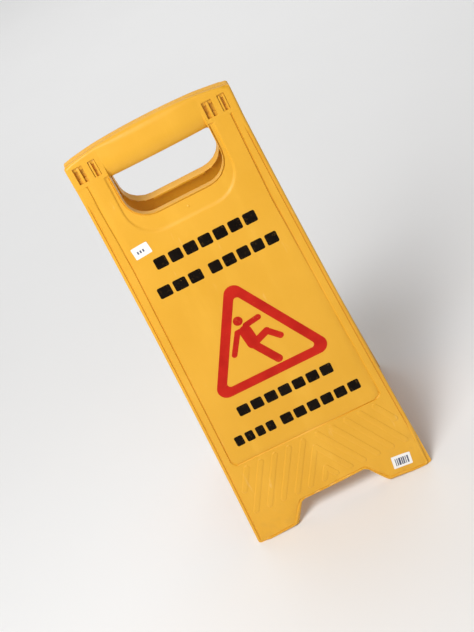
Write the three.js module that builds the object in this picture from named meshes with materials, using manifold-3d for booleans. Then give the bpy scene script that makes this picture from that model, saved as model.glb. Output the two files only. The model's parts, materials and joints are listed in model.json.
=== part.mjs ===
// A folding floor sign: two identical moulded halves, hinged inside their shared
// carrying grip, with printed panels. It is modelled standing open.
// Units are millimetres, +Z is up, and the front half faces -Y. The origin is on the
// floor, midway between the four feet.
// Each half is drawn in its own frame: X to its right, Z up along the panel, with the
// origin on the hinge axis. Depth is measured outwards from the parting plane, along -Y.
import * as THREE from 'three';
import { mergeVertices } from 'three/addons/utils/BufferGeometryUtils.js';
import Module from 'manifold-3d';

const wasm = await Module();
wasm.setup();

// ---- driving dimensions ----
const LEAN = THREE.MathUtils.degToRad(11); // each half, from the vertical, when open
const LEG_LENGTH = 616; // hinge axis to the front edge of the sole
const DEPTH = 14; // one half, from the parting plane to its face
const SKIN = 3; // thickness of the face
const WALL = 2.8; // thickness of the rims, flanges and grip
const EDGE_ROUND = 3.2; // rounding where the face meets the rim
const PARTING_GAP = 0.25; // set-back of each half from the parting plane
const STOP_GAP = 0.15; // set-back of the bevelled faces that meet when open

const FOOT_HALF = 143; // half the width at the feet
const WAIST_HALF = 123.2; // half the width where the tangents of the curved side meet
const WAIST_Z = -285.8;
const SIDE_RADIUS = 15400;
const BAND_HALF = 116.2; // half the width of the grip band
const BAND_BOTTOM_Z = -27;
const BAND_TOP_Z = 16.5; // top of the band at its two ends
const ARCH_SLOPE = 0.187; // of the band's arched top at its two ends
const ARCH_RADIUS = 598;

const NOTCH_TOP_HALF = 52.5;
const NOTCH_FOOT_HALF = 75.5;
const NOTCH_HEIGHT = 40;
const FOOT_FLAT_FROM = 118; // the sole is level from here outwards
const FOOT_RISE = 3; // how far it rises towards the notch
const SOLE_SLOPE = DEPTH * Math.tan(LEAN);

const OPENING_HALF = 69.9; // half the width of the hand opening
const OPENING_BOTTOM = -85.7;
const OPENING_RADIUS = 32;
const LIP_WIDTH = 2.6;
const LIP_HEIGHT = 0.8;

const GRIP_END = OPENING_HALF + WALL; // the grip runs from here to here, across the opening
const GRIP_BULGE = 17.4; // depth of the grip at its middle
const GRIP_TOP_ROUND = 12; // rounding along the top at its middle; at its ends it is EDGE_ROUND
const GRIP_LOW_ROUND = 14; // depth of the rounding along the bottom
const GRIP_LOW_HEIGHT = 26; // and its height
const GRIP_BOTTOM = -21.2;
const GRIP_STATIONS = 12;
const ROUND_STEPS = 5; // facets of one rounded edge of the grip
const GRIP_RIB_SPACING = 36;
const RIB = 2;

const FIELD_RECESS = 0.5; // the printed field lies this far below the face
const COLLAR_RECESS = 1.1; // and the pocket around the hand opening this far

const INNER_STATION = 81; // hinge stations, from the middle of the sign
const OUTER_STATION = 100.7;
const WINDOW_HALF_HEIGHT = 11;
const WIDE_WINDOW = 13.4;
const NARROW_WINDOW = 9.6;
const PIN_RADIUS = 2.5;
const HOOK_BORE = 2.8;
const KNUCKLE_RADIUS = 5.2;
const TONGUE = 3;
const FORK_SLOT = 3.6;
const CHEEK = 2.4;
const SNAP_MOUTH = 4.2;
const STOP_BOTTOM = 5.6; // the stop walls begin here, just clear of the knuckles

const CHEVRON_WIDTH = 9;
const CHEVRON_PITCH = 22.7;
const CHEVRON_RELIEF = 0.6;
const CHEVRON_TILT = THREE.MathUtils.degToRad(30);
const CHEVRON_TOP = -LEG_LENGTH + 129.5;
const CHEVRON_BOTTOM = -LEG_LENGTH + 56.5;
const CHEVRON_SIDE = 121; // no stripe reaches further out than this

const INK_LIFT = 0.1; // clearance below the ink and the stickers
const INK = 0.2;
const BAR_HEIGHT = 16;
const BEYOND = 40; // cutters run past the solid that they cut by this much

const HINGE_HEIGHT = LEG_LENGTH * Math.cos(LEAN) - DEPTH * Math.sin(LEAN);

const plastic = new THREE.MeshStandardMaterial({ color: 0xf2b13a, roughness: 0.42, metalness: 0 });
const redInk = new THREE.MeshStandardMaterial({ color: 0xc4211f, roughness: 0.5, metalness: 0 });
const blackInk = new THREE.MeshStandardMaterial({ color: 0x141110, roughness: 0.5, metalness: 0 });
const paper = new THREE.MeshStandardMaterial({ color: 0xeeebe2, roughness: 0.7, metalness: 0 });

// ---- outlines ----

// A closed outline with each corner, given as [x, z, radius], rounded by an arc. The
// corners run anticlockwise.
function roundedOutline(corners) {
  const shape = new THREE.Shape();
  corners.forEach(([x, z, radius], i) => {
    if (radius === 0) {
      shape[i === 0 ? 'moveTo' : 'lineTo'](x, z);
      return;
    }
    const corner = new THREE.Vector2(x, z);
    const back = heading(corner, corners.at(i - 1));
    const ahead = heading(corner, corners[(i + 1) % corners.length]);
    const half = Math.acos(back.dot(ahead)) / 2;
    const start = back.clone().multiplyScalar(radius / Math.tan(half)).add(corner);
    const end = ahead.clone().multiplyScalar(radius / Math.tan(half)).add(corner);
    const centre = back.clone().add(ahead).setLength(radius / Math.sin(half)).add(corner);
    const from = start.sub(centre).angle();
    const to = end.sub(centre).angle();
    shape.absarc(centre.x, centre.y, radius, from, to, back.cross(ahead) > 0);
  });
  return shape;
}

function heading(from, [x, z]) {
  return new THREE.Vector2(x, z).sub(from).normalize();
}

function mirrored(corners) {
  return corners.map(([x, z, radius]) => [-x, z, radius]).reverse();
}

// The silhouette of a half, moved inwards by the inset. The notch's slanting sides move
// by the inset measured square to them.
function signOutline(inset, soleInset = inset) {
  const slope = (NOTCH_FOOT_HALF - NOTCH_TOP_HALF) / NOTCH_HEIGHT;
  const slant = inset * (Math.hypot(1, slope) - slope);
  const foot = -LEG_LENGTH + soleInset;
  const right = [
    [NOTCH_TOP_HALF + slant, -LEG_LENGTH + NOTCH_HEIGHT + inset, 8],
    [NOTCH_FOOT_HALF + slant, foot + FOOT_RISE, 6],
    [FOOT_FLAT_FROM, foot, 200],
    [FOOT_HALF - inset, foot, Math.max(5 - inset, 2)],
    [WAIST_HALF - inset, WAIST_Z, SIDE_RADIUS],
    [BAND_HALF - inset, BAND_BOTTOM_Z, 300],
    [BAND_HALF - inset, BAND_TOP_Z - inset, 4],
  ];
  const apex = BAND_TOP_Z - inset + ARCH_SLOPE * (BAND_HALF - inset);
  const arch = [0, apex, ARCH_RADIUS - inset];
  return roundedOutline([...right, arch, ...mirrored(right)]);
}

// The hand opening, which runs up past the grip: the grip is added across it.
function openingOutline(grow) {
  const right = [OPENING_HALF + grow, BEYOND, 0];
  const bottom = [OPENING_HALF + grow, OPENING_BOTTOM - grow, OPENING_RADIUS + grow];
  return roundedOutline([bottom, right, ...mirrored([bottom, right])]);
}

function fieldOutline() {
  const right = [
    [118.4, -LEG_LENGTH + 139.5, 9],
    [102, -140, 400],
    [102.6, -16, 3],
  ];
  return roundedOutline([...right, ...mirrored(right)]);
}

function collarOutline() {
  const right = [[77.4, -111.5, 42], [77.4, -16.5, 2]];
  return roundedOutline([...right, ...mirrored(right)]);
}

function rectangle(width, height, radius) {
  const right = [[width / 2, -height / 2, radius], [width / 2, height / 2, radius]];
  return roundedOutline([...right, ...mirrored(right)]);
}

// A bar with round ends, hanging from the origin.
function hangingBar(length, width) {
  const round = width / 2 - 0.01;
  const right = [[width / 2, -length, round], [width / 2, width / 2, round]];
  return roundedOutline([...right, ...mirrored(right)]);
}

// ---- solids ----

const X_AXIS = new THREE.Vector3(1, 0, 0);
const Y_AXIS = new THREE.Vector3(0, 1, 0);
const Z_AXIS = new THREE.Vector3(0, 0, 1);
const OUTWARDS = new THREE.Matrix4().makeBasis(X_AXIS, Z_AXIS, Y_AXIS.clone().negate());
const ALONG_X = new THREE.Matrix4().makeBasis(Y_AXIS, Z_AXIS, X_AXIS);

function toSolid(geometry) {
  geometry.deleteAttribute('normal');
  geometry.deleteAttribute('uv');
  const welded = mergeVertices(geometry);
  const vertProperties = new Float32Array(welded.attributes.position.array);
  const triVerts = new Uint32Array(welded.index.array);
  return new wasm.Manifold(new wasm.Mesh({ numProp: 3, vertProperties, triVerts }));
}

function toGeometry(solid) {
  const { vertProperties, triVerts } = solid.getMesh();
  const geometry = new THREE.BufferGeometry();
  geometry.setAttribute('position', new THREE.BufferAttribute(vertProperties, 3));
  geometry.setIndex(new THREE.BufferAttribute(triVerts, 1));
  geometry.computeVertexNormals();
  return geometry;
}

function union(solids) {
  return solids.reduce((whole, solid) => whole.add(solid));
}

// A plate with an XZ outline, between two depths.
function plate(outline, near, far, curveSegments = 4) {
  const options = { depth: far - near, bevelEnabled: false, curveSegments };
  const geometry = new THREE.ExtrudeGeometry(outline, options).applyMatrix4(OUTWARDS);
  return toSolid(geometry.translate(0, -near, 0));
}

// The same from well behind the parting plane, with the edge of its face rounded.
function roundedPlate(outline, far, round) {
  const options = {
    depth: far + BEYOND - 2 * round,
    bevelThickness: round,
    bevelSize: round,
    bevelOffset: -round,
    bevelSegments: 2,
    curveSegments: 4,
  };
  const geometry = new THREE.ExtrudeGeometry(outline, options).applyMatrix4(OUTWARDS);
  return toSolid(geometry.translate(0, BEYOND - round, 0));
}

// A slab with a YZ outline, between two places along X.
function slab(outline, from, to) {
  const options = { depth: to - from, bevelEnabled: false };
  const geometry = new THREE.ExtrudeGeometry(outline, options).applyMatrix4(ALONG_X);
  return toSolid(geometry.translate(from, 0, 0));
}

function block(low, high) {
  const size = high.map((value, i) => value - low[i]);
  const middle = high.map((value, i) => (value + low[i]) / 2);
  return toSolid(new THREE.BoxGeometry(...size).translate(...middle));
}

function rod(radius, from, to) {
  const geometry = new THREE.CylinderGeometry(radius, radius, to - from, 20);
  return toSolid(geometry.rotateZ(Math.PI / 2).translate((from + to) / 2, 0, 0));
}

// ---- the half ----

// The height of the band's arched top at a distance from the middle.
function archHeight(x) {
  const centre = BAND_TOP_Z + ARCH_SLOPE * BAND_HALF - ARCH_RADIUS * Math.hypot(1, ARCH_SLOPE);
  return centre + Math.sqrt(ARCH_RADIUS ** 2 - x ** 2);
}

// The grip's section: a rectangle with its two front corners rounded, the lower one more
// high than deep. It is deepest and roundest at the middle of the grip, and grows flush
// with the band towards its ends.
function gripSection(x, inset) {
  const swell = 1 - (x / GRIP_END) ** 2;
  const depth = DEPTH + (GRIP_BULGE - DEPTH) * swell - inset;
  const topRound = Math.max(EDGE_ROUND + (GRIP_TOP_ROUND - EDGE_ROUND) * swell - inset, 0.5);
  const lowRound = GRIP_LOW_ROUND - inset;
  const lowHeight = GRIP_LOW_HEIGHT - inset;
  const bottom = GRIP_BOTTOM + inset;
  const top = archHeight(x) - inset;
  const low = [];
  const high = [];
  for (let step = 0; step <= ROUND_STEPS; step += 1) {
    const angle = (Math.PI / 2) * (step / ROUND_STEPS);
    const sin = Math.sin(angle);
    const cos = Math.cos(angle);
    low.push([x, lowRound * (1 - sin) - depth, bottom + lowHeight * (1 - cos)]);
    high.push([x, topRound * (1 - cos) - depth, top - topRound * (1 - sin)]);
  }
  return [[x, BEYOND, bottom], ...low, ...high, [x, BEYOND, top]];
}

// A solid through convex sections that follow each other along X.
function loft(sections) {
  const count = sections[0].length;
  const faces = [];
  for (let i = 1; i < sections.length; i += 1) {
    for (let j = 0; j < count; j += 1) {
      const next = (j + 1) % count;
      const [a, b] = [(i - 1) * count + j, (i - 1) * count + next];
      const [c, d] = [i * count + next, i * count + j];
      faces.push(a, d, c, a, c, b);
    }
  }
  const last = (sections.length - 1) * count;
  for (let j = 1; j < count - 1; j += 1) {
    faces.push(0, j, j + 1, last, last + j + 1, last + j);
  }
  const geometry = new THREE.BufferGeometry();
  geometry.setAttribute('position', new THREE.Float32BufferAttribute(sections.flat(2), 3));
  geometry.setIndex(faces);
  return toSolid(geometry);
}

function gripSolid(inset) {
  const sections = [];
  for (let i = 0; i <= GRIP_STATIONS; i += 1) {
    const x = GRIP_END * ((2 * i) / GRIP_STATIONS - 1);
    sections.push(gripSection(x, inset));
  }
  return loft(sections);
}

function gripShell() {
  const reach = OPENING_HALF;
  const hollow = block([-reach, -BEYOND, -BEYOND], [reach, BEYOND, BEYOND]);
  const inside = gripSolid(WALL).intersect(hollow);
  const ribs = [-1, 0, 1].map((i) => gripRib(i * GRIP_RIB_SPACING));
  return gripSolid(0).subtract(inside).add(union(ribs));
}

function gripRib(x) {
  const slice = block([x - RIB / 2, -BEYOND, -BEYOND], [x + RIB / 2, -1, BEYOND]);
  return gripSolid(WALL / 2).intersect(slice);
}

// The tray: a face with a rim all round it and a flange around the hand opening.
function tray() {
  const outside = roundedPlate(signOutline(0), DEPTH, EDGE_ROUND);
  const hollow = plate(signOutline(WALL, WALL + SOLE_SLOPE), -BEYOND - 1, DEPTH - SKIN);
  const flange = plate(openingOutline(WALL), -BEYOND - 2, DEPTH);
  const opening = plate(openingOutline(0), -BEYOND - 3, DEPTH + 1);
  return outside.subtract(hollow.subtract(flange)).subtract(opening);
}

function lip() {
  const top = DEPTH - FIELD_RECESS + LIP_HEIGHT;
  const below = block([-BEYOND * 3, -BEYOND, -BEYOND * 3], [BEYOND * 3, BEYOND, -17]);
  const ring = plate(openingOutline(LIP_WIDTH), DEPTH - SKIN, top);
  return ring.subtract(plate(openingOutline(0), 0, BEYOND)).intersect(below);
}

function stripe(x, z, side) {
  const drop = (z - CHEVRON_BOTTOM) / Math.cos(CHEVRON_TILT);
  const spread = (CHEVRON_SIDE - x) / Math.sin(CHEVRON_TILT);
  const bar = hangingBar(Math.min(drop, spread) + CHEVRON_WIDTH / 2, CHEVRON_WIDTH);
  const solid = plate(bar, DEPTH - SKIN + 1, DEPTH + CHEVRON_RELIEF, 2);
  const turned = solid.rotate([0, -side * THREE.MathUtils.radToDeg(CHEVRON_TILT), 0]);
  return turned.translate([side * x, 0, z]);
}

function chevrons() {
  const nested = CHEVRON_PITCH / Math.tan(CHEVRON_TILT);
  const starts = [0, 1, 2, 3, 4].map((i) => [(i + 0.5) * CHEVRON_PITCH, CHEVRON_TOP]);
  starts.push([0, CHEVRON_TOP - 0.45 * nested], [0, CHEVRON_TOP - 1.45 * nested]);
  return union(starts.flatMap(([x, z]) => [stripe(x, z, 1), stripe(x, z, -1)]));
}

// What lies behind the parting plane, past the bevel that stops the halves when they
// are open, or below the level sole.
function clearance() {
  const sole = -LEG_LENGTH + SOLE_SLOPE;
  const outline = new THREE.Shape();
  outline.moveTo(-PARTING_GAP, 0);
  outline.lineTo(-STOP_GAP - BEYOND * Math.tan(LEAN), BEYOND);
  outline.lineTo(2 * BEYOND, BEYOND);
  outline.lineTo(2 * BEYOND, -LEG_LENGTH - BEYOND);
  outline.lineTo(-BEYOND, -LEG_LENGTH - BEYOND);
  outline.lineTo(-BEYOND, sole - BEYOND * Math.tan(LEAN));
  outline.lineTo(-PARTING_GAP, sole - PARTING_GAP * Math.tan(LEAN));
  return slab(outline, -2 * FOOT_HALF, 2 * FOOT_HALF);
}

// ---- the hinge ----

// A web from the face to the hinge axis. In its window it stands just behind the face,
// and it falls away towards the window's top.
function web(x, thickness) {
  const root = -DEPTH + SKIN - 0.3;
  const front = -DEPTH + 1.2;
  const outline = new THREE.Shape();
  outline.moveTo(root, -WINDOW_HALF_HEIGHT - 5);
  outline.lineTo(0, -KNUCKLE_RADIUS + 0.4);
  outline.lineTo(0, KNUCKLE_RADIUS - 0.4);
  outline.lineTo(root, WINDOW_HALF_HEIGHT + 1);
  outline.lineTo(front, WINDOW_HALF_HEIGHT - 4);
  outline.lineTo(front, -WINDOW_HALF_HEIGHT - 0.5);
  const half = thickness / 2;
  return slab(outline, x - half, x + half).add(rod(KNUCKLE_RADIUS, x - half, x + half));
}

function hook(x) {
  const bore = rod(HOOK_BORE, x - TONGUE, x + TONGUE);
  const mouth = block([x - TONGUE, 0, -SNAP_MOUTH / 2], [x + TONGUE, BEYOND, SNAP_MOUTH / 2]);
  return web(x, TONGUE).subtract(bore).subtract(mouth);
}

function fork(x) {
  const offset = (FORK_SLOT + CHEEK) / 2;
  const reach = offset + CHEEK / 2;
  const pin = rod(PIN_RADIUS, x - reach, x + reach);
  return union([web(x - offset, CHEEK), web(x + offset, CHEEK), pin]);
}

// The bevelled wall above the knuckles, beside the grip, that meets its twin on the other
// half and stops the sign as it opens.
function stopWall(side) {
  const outline = new THREE.Shape();
  outline.moveTo(BEYOND, STOP_BOTTOM);
  outline.lineTo(BEYOND, BEYOND);
  outline.lineTo(-WALL - BEYOND * Math.tan(LEAN), BEYOND);
  outline.lineTo(-WALL - STOP_BOTTOM * Math.tan(LEAN), STOP_BOTTOM);
  const ends = [side * OPENING_HALF, side * BAND_HALF].sort((a, b) => a - b);
  return slab(outline, ...ends).intersect(plate(signOutline(1), -BEYOND, DEPTH));
}

function windowCut(x, width) {
  const low = [x - width / 2, -BEYOND, -WINDOW_HALF_HEIGHT];
  const high = [x + width / 2, -DEPTH + SKIN + 0.5, WINDOW_HALF_HEIGHT];
  return block(low, high);
}

function halfSolid() {
  const shell = tray()
    .subtract(plate(fieldOutline(), DEPTH - FIELD_RECESS, BEYOND))
    .subtract(plate(collarOutline(), DEPTH - COLLAR_RECESS, BEYOND))
    .add(lip())
    .add(chevrons())
    .add(gripShell())
    .add(stopWall(-1))
    .add(stopWall(1))
    .subtract(clearance());
  const windows = [
    windowCut(-OUTER_STATION, WIDE_WINDOW),
    windowCut(-INNER_STATION, NARROW_WINDOW),
    windowCut(INNER_STATION, WIDE_WINDOW),
    windowCut(OUTER_STATION, NARROW_WINDOW),
  ];
  const hinge = [hook(-OUTER_STATION), fork(-INNER_STATION), hook(INNER_STATION), fork(OUTER_STATION)];
  return shell.subtract(union(windows)).add(union(hinge));
}

// ---- print and stickers ----

const INK_DEPTH = DEPTH - FIELD_RECESS + INK_LIFT;

function inkPlate(outline, depth = INK_DEPTH) {
  return plate(outline, depth, depth + INK, 3);
}

const TRIANGLE_SIDE = 140; // between the centres of its rounded corners
const TRIANGLE_ROUND = 14;
const TRIANGLE_BAND = 12.5;
const TRIANGLE_BASE = -LEG_LENGTH + 260.5; // height of the two lower centres
const TRIANGLE_X = -1;

// A rounded triangle at a distance from the lines that join its corners' centres.
function triangleOutline(distance, radius) {
  const middle = TRIANGLE_BASE + TRIANGLE_SIDE / (2 * Math.sqrt(3));
  const reach = TRIANGLE_SIDE / Math.sqrt(3) + 2 * distance;
  const corners = [210, 330, 90].map((degrees) => {
    const angle = THREE.MathUtils.degToRad(degrees);
    return [TRIANGLE_X + reach * Math.cos(angle), middle + reach * Math.sin(angle), radius];
  });
  return roundedOutline(corners);
}

function triangleRing() {
  const outer = inkPlate(triangleOutline(TRIANGLE_ROUND, TRIANGLE_ROUND));
  const inner = plate(triangleOutline(TRIANGLE_ROUND - TRIANGLE_BAND, 5), 0, BEYOND);
  return outer.subtract(inner);
}

// The slipping figure is a disc for the head and round-ended bars for its body, each
// given as [x, z, x, z, width] from the middle of the triangle's base.
const LIMBS = [
  [-7, 66, -5, 40, 15],
  [-9, 67, -26, 58, 8],
  [-26, 58, -36, 38, 7.5],
  [-7, 69, 20, 73, 7.5],
  [-5, 39, 16, 50, 10],
  [16, 50, 28, 32, 8],
  [-6, 40, 9, 8, 9.5],
];
const HEAD = { x: -13, z: 84, radius: 7 };

function limb([x1, z1, x2, z2, width]) {
  const length = Math.hypot(x2 - x1, z2 - z1);
  const turn = THREE.MathUtils.radToDeg(Math.atan2(x2 - x1, z1 - z2));
  const bar = inkPlate(hangingBar(length + width / 2, width));
  return bar.rotate([0, -turn, 0]).translate([TRIANGLE_X + x1, 0, TRIANGLE_BASE + z1]);
}

function figureBody() {
  return union(LIMBS.map(limb));
}

function figureHead() {
  const disc = new THREE.CylinderGeometry(HEAD.radius, HEAD.radius, INK, 28);
  disc.translate(TRIANGLE_X + HEAD.x, -INK_DEPTH - INK / 2, TRIANGLE_BASE + HEAD.z);
  return toSolid(disc);
}

// Plain bars hold the places of the words: name, middle x, height above the feet, width.
const WORD_BARS = [
  ['line_1', 0, 466.5, 148],
  ['line_2_left', -56.5, 427.5, 65],
  ['line_2_right', 37, 427.5, 100],
  ['line_3', 0, 217.5, 147],
  ['line_4_left', -66.5, 175.5, 62.5],
  ['line_4_right', 36.5, 175.5, 123],
];

function wordBar(x, height, width) {
  return inkPlate(rectangle(width, BAR_HEIGHT, 3)).translate([x, 0, height - LEG_LENGTH]);
}

function sticker(x, height, width, tall, degrees, depth) {
  const turned = inkPlate(rectangle(width, tall, 1), depth).rotate([0, -degrees, 0]);
  return turned.translate([x, 0, height - LEG_LENGTH]);
}

// ---- assembly ----

function mesh(name, solid, material) {
  const piece = new THREE.Mesh(toGeometry(solid), material);
  piece.name = name;
  return piece;
}

function halfAssembly(side) {
  const half = new THREE.Group();
  half.add(mesh(`${side}_panel`, halfSolid(), plastic));
  half.add(mesh(`${side}_print_triangle`, triangleRing(), redInk));
  half.add(mesh(`${side}_print_figure_head`, figureHead(), redInk));
  half.add(mesh(`${side}_print_figure_body`, figureBody(), redInk));
  WORD_BARS.forEach(([line, x, height, width]) => {
    half.add(mesh(`${side}_print_${line}`, wordBar(x, height, width), blackInk));
  });
  return half;
}

const front = halfAssembly('front');
front.add(mesh('price_sticker', sticker(-80.5, 492.5, 24, 16.5, 4, INK_DEPTH), paper));
front.add(mesh('barcode_sticker', sticker(103.5, 27.5, 29, 21, -6, DEPTH + INK_LIFT), paper));
front.rotation.x = -LEAN;

const rear = halfAssembly('rear');
rear.rotation.z = Math.PI;
const rearLean = new THREE.Group();
rearLean.add(rear);
rearLean.rotation.x = LEAN;

const sign = new THREE.Group();
sign.add(front, rearLean);
sign.position.z = HINGE_HEIGHT;

export default sign;
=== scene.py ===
"""A folding floor sign: two moulded halves with printed faces, standing open on a floor.

Both halves are one mesh, made in the half's own frame in millimetres: x to its right, z up
along the panel from the hinge axis, and depth outwards from the parting plane. The mesh is
two surfaces over the (x, z) plane, the face and the back, joined along their outlines.
"""
import json
import math

import bmesh
import bpy
import numpy as np
from mathutils import Matrix, Vector
from mathutils.geometry import delaunay_2d_cdt
from mathutils.kdtree import KDTree


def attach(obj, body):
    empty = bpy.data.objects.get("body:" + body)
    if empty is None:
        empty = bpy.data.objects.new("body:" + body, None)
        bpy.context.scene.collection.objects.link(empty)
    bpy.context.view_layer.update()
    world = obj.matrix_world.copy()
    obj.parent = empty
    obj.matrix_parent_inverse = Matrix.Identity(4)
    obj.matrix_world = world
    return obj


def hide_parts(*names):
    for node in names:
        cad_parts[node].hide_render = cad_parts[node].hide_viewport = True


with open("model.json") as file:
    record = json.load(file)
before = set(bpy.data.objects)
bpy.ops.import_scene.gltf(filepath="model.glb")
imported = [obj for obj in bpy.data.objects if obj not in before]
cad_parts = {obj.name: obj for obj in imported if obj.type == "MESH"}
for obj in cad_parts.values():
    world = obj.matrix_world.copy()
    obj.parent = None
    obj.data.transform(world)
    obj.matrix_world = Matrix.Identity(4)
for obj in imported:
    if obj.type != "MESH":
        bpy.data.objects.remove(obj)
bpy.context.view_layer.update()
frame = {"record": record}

MM = 0.001
LEAN = math.radians(frame["record"]["behaviour"]["joints"][0]["range_deg"][1] / 2)
HINGE = Vector(frame["record"]["behaviour"]["joints"][0]["pos_m"])

# ---- dimensions of a half, in millimetres ----
DEPTH = 14
LEG = (HINGE.z / MM + DEPTH * math.sin(LEAN)) / math.cos(LEAN)
SKIN_BACK = 11  # depth of the tray's floor
WALL = 2.6
WALL_DRAFT = 0.6
EDGE_ROUND = 3.2
PARTING_GAP = 0.25
STOP_GAP = 0.15
CHAMFER = 0.25
CHAMFER_STEEPNESS = 0.8
FRAME_DROP = 0.3  # the frame lies this far below the band
FIELD_RISE = 0.25  # and the printed field this far above the frame
FIELD_STEP = 1
FIELD_GROOVE = 1.7  # depth of the groove around the field
COLLAR_DROP = 1.9  # the collar around the hand opening is sunk by this much
COLLAR_SLOPE = 6.4  # width of the slope at the bottom of the collar
COLLAR_SIDE_SLOPE = 2.5
COLLAR_BEND = -82  # below this the slope widens
COLLAR_BEND_SPAN = 24
BAND_EDGE = -16.5
BAND_STEP = 0.9
GROOVE_AT = 5.0  # the groove runs this far inside the edge
GROOVE = 1.4
GROOVE_HALF = 0.9
GROOVE_WALL = 0.5  # width of a groove's steep sides
GROOVE_TOP = -34  # it fades out towards the band
GROOVE_FADE = 20
LIP_HALF = 0.7  # half the width of the bead around the hand opening
LIP = 1.5
LIP_ON_BAND = 0.4
LIP_GROOVE = 1.1  # the groove beside the bead
LIP_GROOVE_AT = 1.95
LIP_GROOVE_HALF = 0.55
LIP_GROOVE_WALL = 0.3
LIP_TOP = -7
LIP_FADE = 3
WAVE = 0.05  # height of the slow waves in the moulded face
RELIEF = 0.8  # height of the chevrons' stripes
CHEVRON_HALF = 4.5
STEEP_FLANK = 1.2
GENTLE_FLANK = 3.2
CHEVRON_PITCH = 22.7
CHEVRON_TILT = math.radians(30)
CHEVRON_TOP = -LEG + 129.5
CHEVRON_BOTTOM = -LEG + 56.5
CHEVRON_SIDE = 121

BAND_HALF = 116.2
BAND_TOP = 16.5
ARCH_SLOPE = 0.187
ARCH_RADIUS = 598
OPENING_HALF = 69.9
GRIP_BOTTOM = -21.2
GRIP_SWELL = 3.4
GRIP_TOP_ROUND = 11.2
GRIP_LOW_ROUND = 13.4
GRIP_LOW_HEIGHT = 26
GRIP_BLEND = 1.2  # width of the steep step at the grip's ends
GRIP_END_WALL = 1.4
WINDOW_SOFTENING = 0.35
WINDOW_EDGE = 0.4
SOLE_SLOPE = DEPTH * math.tan(LEAN)
SOLE_BLEND = 16

INNER_STATION = 81
OUTER_STATION = 100.7
WINDOW_HALF_HEIGHT = 11
WIDE_WINDOW = 13.4
NARROW_WINDOW = 9.6
KNUCKLE = 5.2
HOOK_BORE = 2.8
PIN = 2.5
MOUTH = 2.1
TONGUE = 3
CHEEK = 2.4
FORK_SLOT = 3.6
STOP_BOTTOM = 5.6
HINGE_WALL = 9.0
MIDDLE_WALL = (6.0, 7.6)  # depths of the wall in front of the knuckles
WEB_ROOT = 10.7  # depth of a web at its ends, in the face
WEB_FRONT = 12.8  # and in its window

STEP = 4.0  # longest edge along an outline
ARC_STEP = math.radians(7.5)
FINE_ARC = math.radians(2)
GRID = 6.0
CLEAR = 2.4  # a grid point keeps this far from the outlines' points


def mirrored(corners):
    return [(-x, z, radius) for x, z, radius in reversed(corners)]


def both_sides(right):
    return right + mirrored(right)


SIGN = both_sides([
    (52.5, -LEG + 40, 8),
    (75.5, -LEG + 3, 6),
    (118, -LEG, 200),
    (143, -LEG, 5),
    (123.2, -285.8, 15400),
    (BAND_HALF, -27, 300),
    (BAND_HALF, BAND_TOP, 4),
])
SIGN.insert(7, (0, BAND_TOP + ARCH_SLOPE * BAND_HALF, ARCH_RADIUS))
FIELD = both_sides([(118.4, -LEG + 139.5, 9), (102, -140, 400), (102.6, 40, 3)])
COLLAR = both_sides([(77.4, -111.5, 42), (77.4, 40, 2)])
OPENING = both_sides([(OPENING_HALF, -85.7, 32), (OPENING_HALF, 60, 0.5)])
HOLE = both_sides([(OPENING_HALF, -85.7, 32), (OPENING_HALF, GRIP_BOTTOM, 0.5)])


# ---- outlines ----

def unit(vector):
    return vector.normalized()


def rounded(corners, step=STEP, arc_step=ARC_STEP):
    """Points of a closed outline whose corners, (x, z, radius), are rounded by arcs."""
    points = []
    for i, (x, z, radius) in enumerate(corners):
        corner = Vector((x, z))
        back = unit(Vector(corners[i - 1][:2]) - corner)
        ahead = unit(Vector(corners[(i + 1) % len(corners)][:2]) - corner)
        half = back.angle(ahead) / 2
        centre = corner + unit(back + ahead) * (radius / math.sin(half))
        start = corner + back * (radius / math.tan(half)) - centre
        end = corner + ahead * (radius / math.tan(half)) - centre
        turn = math.atan2(start.x * end.y - start.y * end.x, start.dot(end))
        steps = max(2, math.ceil(abs(turn) / arc_step))
        steps = max(steps, math.ceil(abs(turn) * radius / min(step, STEP)))
        first = math.atan2(start.y, start.x)
        for k in range(steps + 1):
            angle = first + turn * k / steps
            points.append(centre + radius * Vector((math.cos(angle), math.sin(angle))))
    return closed_path(points, step)


def path(points, step=STEP):
    """An open line through the points, with no edge longer than the step."""
    dense = [Vector(points[0])]
    for point in points[1:]:
        start, end = dense[-1].copy(), Vector(point)
        length = (end - start).length
        if length < 0.05:
            continue
        steps = math.ceil(length / step - 0.01)
        dense += [start.lerp(end, k / steps) for k in range(1, steps + 1)]
    return dense


def closed_path(points, step):
    return path([*points, points[0]], step)[:-1]


def offset(corners, distance):
    """The same corners with every edge moved inwards by the distance."""
    moved = []
    for i, (x, z, radius) in enumerate(corners):
        corner = Vector((x, z))
        into = unit(corner - Vector(corners[i - 1][:2]))
        out = unit(Vector(corners[(i + 1) % len(corners)][:2]) - corner)
        normals = Vector((-into.y - out.y, into.x + out.x))
        shift = normals * (distance / (1 + into.dot(out)))
        convex = into.x * out.y - into.y * out.x > 0
        grown = radius - distance if convex else radius + distance
        moved.append((x + shift.x, z + shift.y, max(grown, 0.3)))
    return moved


def below(points, height):
    """The part of a closed outline below the height, as an open line."""
    keep = [p.y < height for p in points]
    first = next(i for i in range(len(points)) if keep[i] and not keep[i - 1])
    turned = points[first:] + points[:first]
    return [p for p in turned if p.y < height]


def arch(x):
    centre = BAND_TOP + ARCH_SLOPE * BAND_HALF - ARCH_RADIUS * math.hypot(1, ARCH_SLOPE)
    return centre + math.sqrt(ARCH_RADIUS**2 - x**2)


def bar(start, end, half):
    """Outline of a bar with round ends."""
    along = unit(Vector(end) - Vector(start)) * half
    side = Vector((-along.y, along.x))
    a, b = Vector(start) - along, Vector(end) + along
    corners = [a - side, b - side, b + side, a + side]
    return rounded([(*c, half * 0.999) for c in corners])


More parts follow.
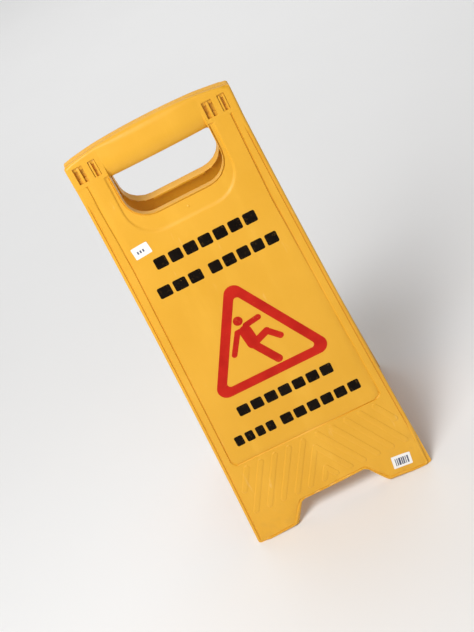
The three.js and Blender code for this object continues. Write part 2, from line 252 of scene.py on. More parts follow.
def rectangle(x, z, width, height, radius, degrees=0):
    turn = Matrix.Rotation(math.radians(degrees), 2)
    corners = [(-1, -1), (1, -1), (1, 1), (-1, 1)]
    placed = [turn @ Vector((a * width / 2, b * height / 2)) for a, b in corners]
    return [(x + p.x, z + p.y, radius) for p in placed]


def inside(points, outline):
    """Distance of each point from the closed outline, positive inside it."""
    start = np.array([tuple(p) for p in outline])
    end = np.roll(start, -1, 0)
    run = end - start
    length2 = (run**2).sum(1)
    result = np.empty(len(points))
    for first in range(0, len(points), 2000):
        part = points[first:first + 2000, None, :]
        t = np.clip(((part - start) * run).sum(2) / length2, 0, 1)
        nearest = np.hypot(*(part - start - t[..., None] * run).transpose(2, 0, 1)).min(1)
        x, z = part[..., 0], part[..., 1]
        spans = (start[:, 1] > z) != (end[:, 1] > z)
        rise = np.where(run[:, 1] == 0, 1, run[:, 1])
        crossing = start[:, 0] + (z - start[:, 1]) / rise * run[:, 0]
        odd = (spans & (x < crossing)).sum(1) % 2 == 1
        result[first:first + 2000] = np.where(odd, nearest, -nearest)
    return result


# ---- the two surfaces of a half, as depths over (x, z) ----

def smooth(t):
    t = np.clip(t, 0, 1)
    return t * t * (3 - 2 * t)


def step_at(distance, width):
    """A smooth step from 0 to 1 that is centred where the distance is 0."""
    return smooth(distance / width + 0.5)


def trench(distance, half=GROOVE_HALF, wall=GROOVE_WALL):
    """A groove with steep sides along an outline."""
    return step_at(half - abs(distance), wall)


def round_drop(distance, radius):
    """How far a rounded edge has fallen at a distance in from its outline."""
    t = np.clip(radius - distance, 0, radius)
    return radius - np.sqrt(radius**2 - t**2)


def stripes():
    """Ends of each stripe of the chevrons."""
    nested = CHEVRON_PITCH / math.tan(CHEVRON_TILT)
    starts = [((i + 0.5) * CHEVRON_PITCH, CHEVRON_TOP) for i in range(5)]
    starts += [(0, CHEVRON_TOP - 0.45 * nested), (0, CHEVRON_TOP - 1.45 * nested)]
    ends = []
    for x, z in starts:
        drop = (z - CHEVRON_BOTTOM) / math.cos(CHEVRON_TILT)
        length = min(drop, (CHEVRON_SIDE - x) / math.sin(CHEVRON_TILT))
        x_end = x + length * math.sin(CHEVRON_TILT)
        z_end = z - length * math.cos(CHEVRON_TILT)
        ends += [((side * x, z), (side * x_end, z_end)) for side in (1, -1)]
    return ends


def chevron_height(points):
    """Stripes whose upper, outer flanks are steep and whose lower ones are gentle."""
    height = np.zeros(len(points))
    for start, end in stripes():
        run = np.array(end) - start
        t = np.clip(((points - start) @ run) / (run @ run), 0, 1)
        away = np.hypot(*(points - start - t[:, None] * run).T)
        across = (points - start) @ np.array((-run[1], run[0])) * np.sign(run[0])
        flank = np.where(across > 0, STEEP_FLANK, GENTLE_FLANK)
        height = np.maximum(height, smooth((CHEVRON_HALF + 0.5 - away) / flank))
    return RELIEF * height


FAR = 1000
SIGN_LINE, OPENING_LINE, FIELD_LINE, COLLAR_LINE = (
    rounded(corners, FAR, FINE_ARC) for corners in (SIGN, OPENING, FIELD, COLLAR)
)
GATE = Vector((1, -99))  # the low dome left by the mould's gate
GATE_RADIUS = 2.4
GATE_HEIGHT = 0.9
GATE_SLOPE = 2.2


def face_depth(points):
    x, z = points.T
    edge = inside(points, SIGN_LINE)
    field = inside(points, FIELD_LINE)
    level = DEPTH - FRAME_DROP + FIELD_RISE * step_at(field, FIELD_STEP)
    level -= FIELD_GROOVE * trench(field)
    widening = smooth((COLLAR_BEND - z) / COLLAR_BEND_SPAN)
    slope = COLLAR_SIDE_SLOPE + (COLLAR_SLOPE - COLLAR_SIDE_SLOPE) * widening
    level -= COLLAR_DROP * step_at(inside(points, COLLAR_LINE), slope)
    level += chevron_height(points)
    level += WAVE * np.sin(x / 23 + 1) * np.sin(z / 41) * smooth((edge - 12) / 20)
    level -= GROOVE * trench(edge - GROOVE_AT) * smooth((GROOVE_TOP - z) / GROOVE_FADE)
    rim = -inside(points, OPENING_LINE)
    bead = np.sqrt(np.clip(1 - ((rim - LIP_HALF) / LIP_HALF)**2, 0, 1))
    bead *= smooth((LIP_TOP - z) / LIP_FADE)
    beside = trench(rim - LIP_GROOVE_AT, LIP_GROOVE_HALF, LIP_GROOVE_WALL)
    level -= LIP_GROOVE * beside * smooth((BAND_EDGE - 1 - z) / LIP_FADE)
    gate = np.hypot(x - GATE.x, z - GATE.y)
    level += GATE_HEIGHT * smooth((GATE_RADIUS - gate) / GATE_SLOPE)
    band = step_at(z - BAND_EDGE, BAND_STEP)
    level += (DEPTH - level) * band + bead * (LIP + (LIP_ON_BAND - LIP) * band)
    level -= round_drop(edge, EDGE_ROUND)

    swell = np.clip(1 - (x / OPENING_HALF)**2, 0, 1)
    top_round = EDGE_ROUND + (GRIP_TOP_ROUND - EDGE_ROUND) * swell
    grip = DEPTH + GRIP_SWELL * swell - round_drop(edge, top_round)
    squash = GRIP_LOW_ROUND / GRIP_LOW_HEIGHT
    grip -= round_drop((z - GRIP_BOTTOM) * squash, GRIP_LOW_ROUND)
    on_grip = smooth((OPENING_HALF - abs(x)) / GRIP_BLEND) * (z > GRIP_BOTTOM - 1)
    return level + (grip - level) * on_grip


def back_depth(points):
    x, z = points.T
    edge = inside(points, SIGN_LINE)
    rim = np.where(z > 0, STOP_GAP + np.maximum(z, 0) * math.tan(LEAN), PARTING_GAP)
    rim = np.maximum(rim, PARTING_GAP)
    flange = np.maximum(-inside(points, OPENING_LINE), 0)
    within = np.minimum(edge, flange)
    tray = rim + (SKIN_BACK - rim) * smooth((within - WALL) / WALL_DRAFT)

    swell = np.clip(1 - (x / OPENING_HALF)**2, 0, 1)
    top_round = EDGE_ROUND + (GRIP_TOP_ROUND - EDGE_ROUND) * swell
    grip = DEPTH + GRIP_SWELL * swell - WALL
    grip -= round_drop(edge - WALL, np.maximum(top_round - WALL, 0.5))
    squash = (GRIP_LOW_ROUND - WALL) / (GRIP_LOW_HEIGHT - WALL)
    grip -= round_drop((z - GRIP_BOTTOM - WALL) * squash, GRIP_LOW_ROUND - WALL)
    in_grip = smooth((OPENING_HALF - GRIP_END_WALL - abs(x)) / GRIP_BLEND)
    in_grip *= step_at(edge - WALL, WALL_DRAFT) * (z > GRIP_BOTTOM + WALL)
    on_grip = (abs(x) < OPENING_HALF) & (z > GRIP_BOTTOM - 1)
    level = np.where(on_grip, rim + np.maximum(grip - rim, 0) * in_grip, tray)
    return level + CHAMFER_STEEPNESS * np.clip(CHAMFER - edge, 0, CHAMFER)


# ---- triangulation ----

def triangulate(loops, lines, grid, keep):
    """Triangles over the loops, lines and grid points whose centres are to be kept.

    It gives the points, the triangles and the loops as indices of the points.
    """
    points, edges, starts = [], [], []
    for line in [*loops, *lines]:
        first = len(points)
        starts.append(first)
        points += [Vector(p) for p in line]
        edges += [(k - 1, k) for k in range(first + 1, len(points))]
        if len(starts) <= len(loops):
            edges.append((len(points) - 1, first))
    if grid:
        tree = KDTree(len(points))
        for i, point in enumerate(points):
            tree.insert((*point, 0), i)
        tree.balance()
        points += [Vector(p) for p in grid if tree.find((*p, 0))[2] > CLEAR]
    found, _, faces, origins, _, _ = delaunay_2d_cdt(points, edges, [], 0, 1e-4)
    place = {}
    for new, olds in enumerate(origins):
        for old in olds:
            place[old] = new
    flat = np.array([tuple(p) for p in found])
    faces = np.array([f for f in faces if len(f) == 3])
    faces = faces[keep(flat[faces].mean(1))]
    rings = []
    for i, loop in enumerate(loops):
        rings.append([place[starts[i] + k] for k in range(len(loop))])
    return flat, faces, rings


def grid_points(low, high, step):
    columns = np.arange(low[0], high[0] + step / 2, step)
    rows = np.arange(low[1], high[1] + step / 2, step)
    return [(float(x), float(z)) for z in rows for x in columns]


# ---- the half ----

def windows():
    """Corner outlines of the four hinge windows."""
    places = [
        (-OUTER_STATION, WIDE_WINDOW),
        (-INNER_STATION, NARROW_WINDOW),
        (INNER_STATION, WIDE_WINDOW),
        (OUTER_STATION, NARROW_WINDOW),
    ]
    return [rectangle(x, 0, width, 2 * WINDOW_HALF_HEIGHT, 0.8) for x, width in places]


def grip_lines(columns, from_bottom, from_top):
    lines = []
    span = np.linspace(-OPENING_HALF + GRIP_BLEND, OPENING_HALF - GRIP_BLEND, 48)
    for height in from_bottom:
        lines.append([(x, GRIP_BOTTOM + height) for x in span])
    for height in from_top:
        lines.append([(x, arch(x) - height) for x in span])
    for x in columns:
        for side in (-1, 1):
            line = [(side * x, GRIP_BOTTOM + 0.3), (side * x, arch(x) - EDGE_ROUND - 0.3)]
            lines.append(path(line, 1.5))
    return lines


def across_round(radius, degrees):
    """Distances in from an edge that spread lines evenly around its rounding."""
    return [radius * (1 - math.cos(math.radians(a))) for a in degrees]


def face_lines():
    """Lines along which the face's triangles run, so that its relief is crisp."""
    rings = across_round(EDGE_ROUND, range(18, 91, 18))
    banks = [GROOVE_HALF + GROOVE_WALL * k for k in (-0.5, -0.2, 0.2, 0.5)]
    banks = [-bank for bank in reversed(banks)] + banks
    rings += [GROOVE_AT + bank for bank in banks]
    lines = [closed(rounded(offset(SIGN, ring))) for ring in rings]
    under = BAND_EDGE - 0.5
    # Across the bead around the hand opening and the groove beside it.
    for out in (0.03, 0.15, 0.4, 0.7, 1.0, 1.25, 1.38, 1.55, 2.35, 2.65):
        lines.append(below(rounded(offset(OPENING, -out), 3), LIP_TOP + 1))
    for into in banks:
        lines.append(below(rounded(offset(FIELD, into)), under))
    half_slope = COLLAR_SLOPE / 2 + 0.3
    for into in [half_slope * k / 7 for k in (-7, -4.6, -2.4, -1, 0, 1, 2.4, 4.6, 7)]:
        lines.append(below(rounded(offset(COLLAR, into), 3), under))
    for height in (-BAND_STEP / 2, 0, BAND_STEP / 2):
        for side in (-1, 1):
            ends = [(side * (OPENING_HALF + 2.1), BAND_EDGE + height)]
            ends.append((side * (BAND_HALF - EDGE_ROUND - 0.2), BAND_EDGE + height))
            lines.append(path(ends, 2.5))
    for start, end in stripes():
        for out in (0.5, 0.1, -0.3, -0.7, -1.6, -2.7):
            lines.append(closed(bar(start, end, CHEVRON_HALF + out)))
    for radius in (GATE_RADIUS, 1.9, 1.4, 0.9, 0.4):
        square = rectangle(*GATE, 2 * radius, 2 * radius, radius * 0.99)
        lines.append(closed(rounded(square)))
    for window in windows():
        lines.append(closed(rounded(offset(window, -WINDOW_EDGE))))
    columns = [OPENING_HALF - GRIP_BLEND * k for k in (0.25, 0.5, 0.75, 1)]
    low = across_round(GRIP_LOW_HEIGHT, range(8, 91, 7))
    return lines + grip_lines(columns, low, (4.6, 6, 7.6, 9.4, GRIP_TOP_ROUND))


def back_lines():
    wall_top = (WALL, WALL + WALL_DRAFT / 2, WALL + WALL_DRAFT)
    lines = [closed(rounded(offset(SIGN, ring))) for ring in (2 * CHAMFER, *wall_top)]
    for out in wall_top:
        lines.append(below(rounded(offset(OPENING, -out), 3), 6))
    low = (2.7, 3, 4, 6, 9, 13, 18, 22, 26)
    end = OPENING_HALF - GRIP_END_WALL
    return lines + grip_lines((end, end - GRIP_BLEND), low, (4, 6, 8.6, 11))


def closed(points):
    return [*points, points[0]]


def edge_softened(depth):
    """The face's depth, with the edges of the windows softened."""
    frames = [rounded(window) for window in windows()]

    def softened(points):
        level = depth(points)
        for line in frames:
            near = smooth(1 - abs(inside(points, line)) / WINDOW_EDGE)
            level -= WINDOW_SOFTENING * near
        return level

    return softened


def half_surfaces():
    loops = [rounded(SIGN), rounded(HOLE, 3)] + [rounded(window) for window in windows()]

    def keep(centres):
        kept = inside(centres, loops[0]) > 0
        for loop in loops[1:]:
            kept &= inside(centres, loop) < 0
        return kept

    grid = grid_points((-144, -LEG), (144, 30), GRID)
    face = triangulate(loops, face_lines(), grid, keep)
    back = triangulate(loops, back_lines(), grid_points((-144, -LEG), (144, 30), 12), keep)
    return face, back


def add_surface(mesh, flat, faces, depth, flip):
    depths = depth(flat)
    used = set(faces.ravel().tolist())
    verts = {i: mesh.verts.new((*flat[i], depths[i])) for i in used}
    for face in faces:
        order = face[::-1] if flip else face
        mesh.faces.new([verts[int(i)] for i in order])
    return verts


def slope_sole(mesh):
    """Moves the points near the sole so that it is level when the half leans."""
    for vert in mesh.verts:
        weight = min(max((-LEG + SOLE_BLEND - vert.co.y) / SOLE_BLEND, 0), 1)
        vert.co.y += SOLE_SLOPE * (1 - vert.co.z / DEPTH) * weight


def add_prism(mesh, outline, low, high, axes, bevel=0.3):
    """A bevelled prism between two places on an axis, such as a lug of the hinge."""
    part = bmesh.new()
    bottom = [part.verts.new((*p, low)) for p in outline]
    top = [part.verts.new((*p, high)) for p in outline]
    part.faces.new(bottom[::-1])
    part.faces.new(top)
    for i in range(len(outline)):
        k = (i + 1) % len(outline)
        part.faces.new((bottom[i], bottom[k], top[k], top[i]))
    part.normal_update()
    rims = [e for e in part.edges if len(e.link_faces) == 2 and e.calc_face_angle() > 0.6]
    bmesh.ops.bevel(part, geom=rims, offset=bevel, segments=2, profile=0.5, affect="EDGES")
    part.transform(axes)
    scratch = bpy.data.meshes.new("part")
    part.to_mesh(scratch)
    mesh.from_mesh(scratch)
    bpy.data.meshes.remove(scratch)
    part.free()


# Prisms of the hinge are drawn as (depth, z) and run along x.
ALONG_X = Matrix(((0, 0, 1, 0), (0, 1, 0, 0), (1, 0, 0, 0), (0, 0, 0, 1)))


def arc(radius, first, last, steps):
    angles = [math.radians(first + (last - first) * k / steps) for k in range(steps + 1)]
    return [(radius * math.cos(a), radius * math.sin(a)) for a in angles]


def web(back):
    """Outline of a hinge web from the face to the knuckle, whose back is given."""
    front = [(WEB_ROOT, -16), (WEB_FRONT, -11.5), (WEB_FRONT, 6.6), (WEB_ROOT, 12)]
    return front + back


def add_hook(mesh, x):
    outer = math.degrees(math.asin(MOUTH / KNUCKLE))
    bore = math.degrees(math.asin(MOUTH / HOOK_BORE))
    back = arc(KNUCKLE, 80, 180 - outer, 8) + arc(HOOK_BORE, 180 - bore, bore - 180, 20)
    back += arc(KNUCKLE, 180 + outer, 280, 8)
    add_prism(mesh, web(back), x - TONGUE / 2, x + TONGUE / 2, ALONG_X, 0.25)


def add_fork(mesh, x):
    reach = (FORK_SLOT + CHEEK) / 2
    for side in (-1, 1):
        low = x + side * reach - CHEEK / 2
        add_prism(mesh, web(arc(KNUCKLE, 80, 280, 20)), low, low + CHEEK, ALONG_X, 0.25)
    ends = reach + CHEEK / 2 - 0.3
    add_prism(mesh, arc(PIN, 0, 345, 23), x - ends, x + ends, ALONG_X, 0.2)


def add_hinge_walls(mesh, side):
    """The bevelled wall above the knuckles, which stops the sign as it opens, and the
    walls below and in front of them."""
    spots = np.linspace(OPENING_HALF + 1, BAND_HALF - 1.5, 12)
    tops = [(side * x, arch(x) - 1.6) for x in spots]
    outline = [(side * spots[0], STOP_BOTTOM), *tops, (side * spots[-1], STOP_BOTTOM)]
    if side < 0:
        outline.reverse()
    tilt = Matrix.Identity(4)
    tilt[2][1] = math.tan(LEAN)
    add_prism(mesh, outline, STOP_GAP + 0.1, HINGE_WALL, tilt, 0.3)
    ends = sorted((side * spots[0], side * spots[-1]))
    low = -WINDOW_HALF_HEIGHT - 3
    for bottom, top, near, far in (
        (low, -STOP_BOTTOM, PARTING_GAP + 0.1, HINGE_WALL),
        (-STOP_BOTTOM - 0.5, STOP_BOTTOM + 0.5, *MIDDLE_WALL),
    ):
        outline = [(ends[0], bottom), (ends[1], bottom), (ends[1], top), (ends[0], top)]
        add_prism(mesh, outline, near, far, Matrix.Identity(4), 0.3)


def half_mesh():
    """The moulded half, as (x, z, depth)."""
    mesh = bmesh.new()
    face, back = half_surfaces()
    front = add_surface(mesh, face[0], face[1], edge_softened(face_depth), False)
    rear = add_surface(mesh, back[0], back[1], back_depth, True)
    for near, far in zip(face[2], back[2]):
        for i in range(len(near)):
            corners = [front[near[i]], front[near[i - 1]], rear[far[i - 1]], rear[far[i]]]
            mesh.faces.new(corners)
    slope_sole(mesh)
    bmesh.ops.recalc_face_normals(mesh, faces=mesh.faces)
    for side in (-1, 1):
        add_hinge_walls(mesh, side)
    add_hook(mesh, -OUTER_STATION)
    add_hook(mesh, INNER_STATION)
    add_fork(mesh, -INNER_STATION)
    add_fork(mesh, OUTER_STATION)
    return mesh


# ---- placing ----

# From (x, z, depth) in millimetres to the half's frame in metres, and then to the place
# of each half.
UPRIGHT = Matrix(((MM, 0, 0, 0), (0, 0, -MM, 0), (0, MM, 0, 0), (0, 0, 0, 1)))
PLACES = {
    "front": Matrix.Translation(HINGE) @ Matrix.Rotation(-LEAN, 4, "X") @ UPRIGHT,
    "rear": Matrix.Translation(HINGE) @ Matrix.Rotation(LEAN, 4, "X")
    @ Matrix.Rotation(math.pi, 4, "Z") @ UPRIGHT,
}


def add_piece(name, mesh, side, materials, nodes, sharp=35):
    """A piece from the mesh of one half's frame, riding on that half."""
    data = bpy.data.meshes.new(name)
    copy = mesh.copy()
    copy.transform(PLACES[side])
    bmesh.ops.recalc_face_normals(copy, faces=copy.faces)
    copy.to_mesh(data)
    copy.free()
    data.shade_smooth()
    data.set_sharp_from_angle(angle=math.radians(sharp))
    piece = bpy.data.objects.new(name, data)
    bpy.context.scene.collection.objects.link(piece)
    for material in materials:
        data.materials.append(material)
    normals = piece.modifiers.new("normals", "WEIGHTED_NORMAL")
    normals.keep_sharp = True
    normals.mode = "FACE_AREA_WITH_ANGLE"
    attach(piece, f"{side}_half")
    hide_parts(*nodes)
    return piece


# ---- print and stickers ----

INK_BACK = 0.02  # the ink's back stands off the plastic by this much
INK_FACE = 0.14
STICKER_BACK = 0.03
STICKER_FACE = 0.16
STICKER_CURL = 6
STICKER_CURL_FROM = 0.55  # a corner lifts from this far along the label's diagonal
BARS = ((-9.4, 1.2), (-6.6, 1.6), (-3.2, 3.0), (0.2, 1.8), (3.0, 2.2), (6.0, 1.2), (9.2, 2.2))
BARCODE = [(x, -0.5, width, 12.5) for x, width in BARS]
PRICE_MARKS = [(-5.5, -0.5, 2.2, 4), (-1.5, -0.5, 2.2, 4), (2.5, -0.5, 2.2, 4)]

TRIANGLE_SIDE = 140
TRIANGLE_ROUND = 14
TRIANGLE_BAND = 13.8
TRIANGLE_BASE = -LEG + 258.3
TRIANGLE_X = -1
LIMBS = [
    ((-9, 66), (-7, 46), 18),
    ((-10, 69), (-20, 69), 8.5),
    ((-20, 69), (-38, 41), 8),
    ((-5, 74), (15, 77), 8.5),
    ((-4, 45), (17, 53), 10.5),
    ((17, 53), (31, 38), 9.5),
    ((-8, 44), (14, 7.5), 12),
]
HEAD = (-12, 84.5, 6.8)
# Plain blocks hold the places of the words: middle, height over the feet, width, blocks.
WORDS = {
    "line_1": (0, 466.5, 148, 7),
    "line_2_left": (-56.5, 427.5, 65, 3),
    "line_2_right": (37, 427.5, 100, 5),
    "line_3": (0, 217.5, 147, 7),
    "line_4_left": (-66.5, 175.5, 62.5, 4),
    "line_4_right": (36.5, 175.5, 123, 6),
}
WORD_HEIGHT = 16
WORD_GAP = 4.2


def thin_plate(mesh, loops, keep, low, high, grid=GRID, index=0):
    """A thin plate that follows the face, between two heights over it."""
    spots = np.array([tuple(p) for loop in loops for p in loop])
    cells = grid_points(spots.min(0), spots.max(0), grid)
    flat, faces, _ = triangulate(loops, [], cells, keep)
    depths = face_depth(flat)
    levels = []
    for height in (low, high):
        levels.append([mesh.verts.new((*p, d + height)) for p, d in zip(flat, depths)])
    sides = {}
    for a, b, c in faces.tolist():
        upper = mesh.faces.new([levels[1][i] for i in (a, b, c)])
        lower = mesh.faces.new([levels[0][i] for i in (c, b, a)])
        upper.material_index = lower.material_index = index
        for i, k in ((a, b), (b, c), (c, a)):
            sides[i, k] = True
    for i, k in sides:
        if (k, i) not in sides:
            wall = mesh.faces.new((levels[1][k], levels[1][i], levels[0][i], levels[0][k]))
            wall.material_index = index
    loose = [v for v in mesh.verts if not v.link_faces]
    bmesh.ops.delete(mesh, geom=loose, context="VERTS")


def ink_mesh(loops, holes=()):
    """Ink over the union of the loops, without the holes."""
    def keep(centres):
        kept = np.zeros(len(centres), bool)
        for loop in loops:
            kept |= inside(centres, loop) > 0
        for hole in holes:
            kept &= inside(centres, hole) < 0
        return kept

    mesh = bmesh.new()
    thin_plate(mesh, [*loops, *holes], keep, INK_BACK, INK_FACE)
    return mesh


def triangle(distance, radius):
    middle = TRIANGLE_BASE + TRIANGLE_SIDE / (2 * math.sqrt(3))
    reach = TRIANGLE_SIDE / math.sqrt(3) + 2 * distance
    corners = []
    for degrees in (210, 330, 90):
        angle = math.radians(degrees)
        x, z = reach * math.cos(angle), reach * math.sin(angle)
        corners.append((TRIANGLE_X + x, middle + z, radius))
    return rounded(corners)


def limb(start, end, width):
    base = Vector((TRIANGLE_X, TRIANGLE_BASE))
    return bar(base + Vector(start), base + Vector(end), width / 2)


def ink_meshes():
    x, z, radius = HEAD
    head = rectangle(TRIANGLE_X + x, TRIANGLE_BASE + z, 2 * radius, 2 * radius, radius * 0.999)
    ring = [triangle(TRIANGLE_ROUND, TRIANGLE_ROUND)]
    hole = [triangle(TRIANGLE_ROUND - TRIANGLE_BAND, 5)]
    meshes = {
        "triangle": ink_mesh(ring, hole),
        "figure_head": ink_mesh([rounded(head)]),
        "figure_body": ink_mesh([limb(*each) for each in LIMBS]),
    }
    for name, (middle, height, width, count) in WORDS.items():
        pitch = (width + WORD_GAP) / count
        blocks = []
        for i in range(count):
            x = middle + (i - (count - 1) / 2) * pitch
            blocks.append(rounded(rectangle(x, height - LEG, pitch - WORD_GAP, WORD_HEIGHT, 2.5)))
        meshes[name] = ink_mesh(blocks)
    return meshes


def sticker_mesh(x, height, width, tall, degrees, marks):
    """A paper label with plain marks, (x, z, width, height) from its middle."""
    mesh = bmesh.new()
    middle = Vector((x, height - LEG))
    turn = Matrix.Rotation(math.radians(degrees), 2)

    def add(spot, size, radius, low, high, index):
        place = middle + turn @ Vector(spot)
        outline = rounded(rectangle(*place, *size, radius, degrees), 1.5)

        def keep(centres):
            return inside(centres, outline) > 0

        thin_plate(mesh, [outline], keep, low, high, 2, index)

    add((0, 0), (width, tall), 1.2, STICKER_BACK, STICKER_FACE, 0)
    for mark_x, mark_z, mark_width, mark_height in marks:
        size = (mark_width, mark_height)
        add((mark_x, mark_z), size, 0.1, STICKER_FACE + 0.005, STICKER_FACE + 0.03, 1)
    back = turn.transposed()
    for vert in mesh.verts:
        spot = back @ (vert.co.xy - middle)
        lift = max(spot.x / width + spot.y / tall - STICKER_CURL_FROM, 0)
        vert.co.z += STICKER_CURL * lift**2
    return mesh


# ---- materials ----

class Nodes:
    """Short calls for building a material's node tree."""

    def __init__(self, name):
        self.material = bpy.data.materials.new(name)
        self.material.use_nodes = True
        self.tree = self.material.node_tree
        self.shader = self.tree.nodes["Principled BSDF"]
        self.place = self.add("ShaderNodeTexCoord").outputs["Object"]

    def add(self, kind, **inputs):
        node = self.tree.nodes.new(kind)
        for name, value in inputs.items():
            self.set(node.inputs[name.replace("_", " ")], value)
        return node

    def set(self, socket, value):
        if isinstance(value, bpy.types.NodeSocket):
            self.tree.links.new(value, socket)
        else:
            socket.default_value = value

    def noise(self, scale, detail=3, stretch=None):
        place = self.place
        if stretch:
            place = self.add("ShaderNodeMapping", Vector=place, Scale=stretch).outputs[0]
        return self.add("ShaderNodeTexNoise", Vector=place, Scale=scale, Detail=detail).outputs[0]

    def ramp(self, value, low, high, out_low=0.0, out_high=1.0):
        node = self.add("ShaderNodeMapRange", Value=value)
        node.interpolation_type = "SMOOTHSTEP"
        for i, number in enumerate((low, high, out_low, out_high), 1):
            node.inputs[i].default_value = number
        return node.outputs[0]

    def multiply(self, a, b):
        node = self.tree.nodes.new("ShaderNodeMath")
        node.operation = "MULTIPLY"
        self.set(node.inputs[0], a)
        self.set(node.inputs[1], b)
        return node.outputs[0]

    def mix(self, amount, a, b):
        node = self.tree.nodes.new("ShaderNodeMix")
        node.data_type = "RGBA"
        self.set(node.inputs["Factor"], amount)
        for socket, colour in ((node.inputs[6], a), (node.inputs[7], b)):
            self.set(socket, (*colour, 1) if isinstance(colour, tuple) else colour)
        return node.outputs[2]

    def bump(self, height, distance, strength, under=None):
        node = self.add("ShaderNodeBump", Height=height, Strength=strength, Distance=distance)
        if under:
            self.set(node.inputs["Normal"], under)
        return node.outputs[0]

    def finish(self, colour, rough, normal, **plain):
        self.set(self.shader.inputs["Base Color"], colour)
        self.set(self.shader.inputs["Roughness"], rough)
        self.set(self.shader.inputs["Normal"], normal)
        for name, value in plain.items():
            self.shader.inputs[name.replace("_", " ")].default_value = value
        return self.material


def yellow_plastic():
    nodes = Nodes("yellow_plastic")
    cloud = nodes.noise(7, 4)
    colour = nodes.mix(nodes.ramp(cloud, 0.3, 0.7), (0.74, 0.368, 0.019), (0.79, 0.402, 0.027))
    streaks = nodes.noise(30, 5, (1, 1, 0.12))
    colour = nodes.mix(nodes.ramp(streaks, 0.5, 0.8, 0, 0.2), colour, (0.95, 0.55, 0.06))
    sharpness = nodes.add("ShaderNodeNewGeometry").outputs["Pointiness"]
    wear = nodes.ramp(sharpness, 0.52, 0.62)
    wear = nodes.multiply(wear, nodes.ramp(nodes.noise(60, 4), 0.35, 0.65, 0.02, 0.16))
    colour = nodes.mix(wear, colour, (0.92, 0.56, 0.1))
    height = nodes.add("ShaderNodeSeparateXYZ", Vector=nodes.place).outputs["Z"]
    low = nodes.ramp(height, 0.0, 0.09, 1, 0)
    dirt = nodes.multiply(low, nodes.ramp(nodes.noise(90, 6), 0.45, 0.75, 0.0, 0.14))
    colour = nodes.mix(dirt, colour, (0.42, 0.22, 0.05))
    scratch = nodes.ramp(nodes.noise(120, 3, (1, 1, 0.04)), 0.66, 0.72, 0, 1)
    scratch = nodes.multiply(scratch, nodes.ramp(nodes.noise(14, 3), 0.5, 0.7, 0, 0.22))
    colour = nodes.mix(scratch, colour, (0.98, 0.7, 0.3))
    rough = nodes.ramp(nodes.noise(45, 5), 0.3, 0.7, 0.36, 0.48)
    peel = nodes.bump(nodes.noise(260, 2), 0.0004, 0.25)
    grain = nodes.bump(nodes.noise(1500, 2), 0.0001, 0.35, peel)
    return nodes.finish(colour, rough, grain, Specular_IOR_Level=0.4, IOR=1.49)


def ink(name, base, light, rough_low):
    nodes = Nodes(name)
    colour = nodes.mix(nodes.ramp(nodes.noise(40, 5), 0.3, 0.7), base, light)
    specks = nodes.ramp(nodes.noise(420, 2), 0.74, 0.78, 0, 0.5)
    specks = nodes.multiply(specks, nodes.ramp(nodes.noise(22, 3), 0.55, 0.7))
    colour = nodes.mix(specks, colour, (0.8, 0.4, 0.08))
    sharpness = nodes.add("ShaderNodeNewGeometry").outputs["Pointiness"]
    wear = nodes.multiply(nodes.ramp(sharpness, 0.55, 0.7), nodes.ramp(nodes.noise(300), 0.55, 0.7))
    colour = nodes.mix(nodes.multiply(wear, 0.3), colour, (0.8, 0.42, 0.08))
    rough = nodes.ramp(nodes.noise(60, 4), 0.3, 0.7, rough_low, rough_low + 0.1)
    film = nodes.bump(nodes.noise(500, 3), 0.0002, 0.3)
    return nodes.finish(colour, rough, film, Specular_IOR_Level=0.06)


def paper():
    nodes = Nodes("sticker_paper")
    fibres = nodes.noise(900, 6)
    colour = nodes.mix(nodes.ramp(fibres, 0.3, 0.7), (0.84, 0.83, 0.8), (0.92, 0.91, 0.89))
    grime = nodes.ramp(nodes.noise(110, 4), 0.5, 0.8, 0, 0.2)
    colour = nodes.mix(grime, colour, (0.62, 0.5, 0.34))
    rough = nodes.ramp(fibres, 0.3, 0.7, 0.55, 0.7)
    return nodes.finish(colour, rough, nodes.bump(fibres, 0.0001, 0.4))


def pale_floor():
    nodes = Nodes("pale_floor")
    colour = nodes.mix(nodes.noise(3, 2), (0.85, 0.85, 0.85), (0.87, 0.87, 0.87))
    return nodes.finish(colour, 0.8, nodes.bump(nodes.noise(200, 2), 0.0002, 0.1))


PLASTIC = yellow_plastic()
RED = ink("red_ink", (0.46, 0.014, 0.008), (0.55, 0.02, 0.011), 0.5)
BLACK = ink("black_ink", (0.004, 0.002, 0.001), (0.008, 0.005, 0.003), 0.54)
LABEL_INK = ink("label_ink", (0.06, 0.07, 0.12), (0.12, 0.13, 0.19), 0.5)
PAPER = paper()

half = half_mesh()
for side in ("front", "rear"):
    add_piece(f"{side}_moulding", half, side, [PLASTIC], [f"{side}_panel"])
for name, mesh in ink_meshes().items():
    slot, material = ("black_ink", BLACK) if name in WORDS else ("red_ink", RED)
    for side in ("front", "rear"):
        node = f"{side}_print_{name}"
        add_piece(f"{side}_ink_{name}", mesh, side, [material], [node])

stickers = {
    "price_sticker": sticker_mesh(-80.5, 492.5, 24, 16.5, 4, PRICE_MARKS),
    "barcode_sticker": sticker_mesh(103.5, 27.5, 29, 21, -6, BARCODE),
}
for name, mesh in stickers.items():
    add_piece(f"front_{name}", mesh, "front", [PAPER, LABEL_INK], [name])

# ---- floor, light and camera ----

FLOOR_HALF = 15
floor_data = bpy.data.meshes.new("floor")
corner_signs = ((-1, -1), (1, -1), (1, 1), (-1, 1))
floor_corners = [(a * FLOOR_HALF, b * FLOOR_HALF, 0) for a, b in corner_signs]
floor_data.from_pydata(floor_corners, [], [(0, 1, 2, 3)])
floor_data.materials.append(pale_floor())
floor = bpy.data.objects.new("floor", floor_data)
bpy.context.scene.collection.objects.link(floor)


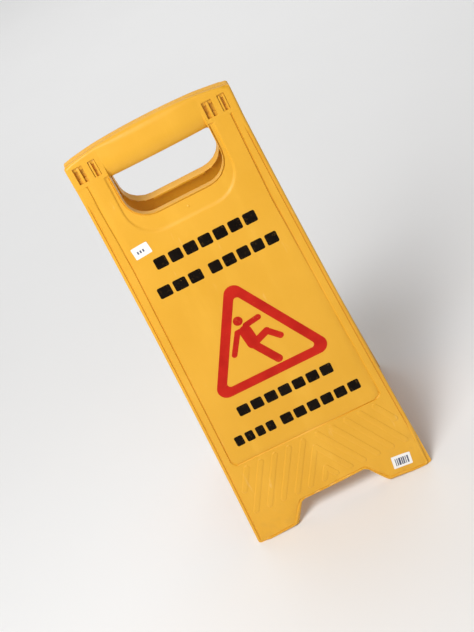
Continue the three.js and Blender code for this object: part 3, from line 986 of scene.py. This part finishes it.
def aim(obj, location, target, roll=0.0):
    forward = (Vector(target) - Vector(location)).normalized()
    turn = forward.to_track_quat("-Z", "Y").to_matrix().to_4x4()
    obj.matrix_world = Matrix.Translation(location) @ turn @ Matrix.Rotation(roll, 4, "Z")


def softbox(name, location, target, size, power, colour):
    data = bpy.data.lights.new(name, "AREA")
    data.shape = "RECTANGLE"
    data.size, data.size_y = size
    data.energy = power
    data.color = colour
    light = bpy.data.objects.new(name, data)
    bpy.context.scene.collection.objects.link(light)
    aim(light, location, target)


softbox("side", (-0.6, -0.85, 1.3), (0, 0, 0.5), (0.7, 0.7), 12.5, (1.0, 0.985, 0.96))
softbox("backdrop", (0, 2.6, 3.0), (0, 2.6, 0), (4, 3), 55, (1.0, 1.0, 1.0))
key_data = bpy.data.lights.new("key", "SUN")
key_data.energy = 0.9
key_data.angle = math.radians(20)
key = bpy.data.objects.new("key", key_data)
bpy.context.scene.collection.objects.link(key)
aim(key, (-0.81, -1.38, 2.95), (0, 0, 0.4))

# The studio is pale near the horizon, like the floor, and dim overhead.
FADE_HEIGHTS = (0.3, 0.62)
FADE_STRENGTHS = (0.78, 0.1)
world = bpy.data.worlds.new("studio")
world.use_nodes = True
sky = world.node_tree
direction = sky.nodes.new("ShaderNodeTexCoord").outputs["Generated"]
height = sky.nodes.new("ShaderNodeSeparateXYZ")
sky.links.new(direction, height.inputs[0])
fade = sky.nodes.new("ShaderNodeMapRange")
fade.interpolation_type = "SMOOTHSTEP"
for i, number in enumerate(FADE_HEIGHTS + FADE_STRENGTHS, 1):
    fade.inputs[i].default_value = number
sky.links.new(height.outputs["Z"], fade.inputs[0])
sky.links.new(fade.outputs[0], sky.nodes["Background"].inputs["Strength"])
sky.nodes["Background"].inputs["Color"].default_value = (1, 1, 1, 1)
bpy.context.scene.world = world
bpy.context.scene.view_settings.view_transform = "Standard"

# The camera looks down at the front half and is rolled, so the sign lies aslant.
CAMERA_PLACE = (0.0881, -1.1698, 1.0765)
CAMERA_TARGET = (-0.0105, -0.0645, 0.3437)
CAMERA_ROLL = math.radians(-29.22)
CAMERA_LENS = 55.94
camera_data = bpy.data.cameras.new("camera")
camera_data.lens = CAMERA_LENS
camera = bpy.data.objects.new("camera", camera_data)
bpy.context.scene.collection.objects.link(camera)
aim(camera, CAMERA_PLACE, CAMERA_TARGET, CAMERA_ROLL)
bpy.context.scene.camera = camera
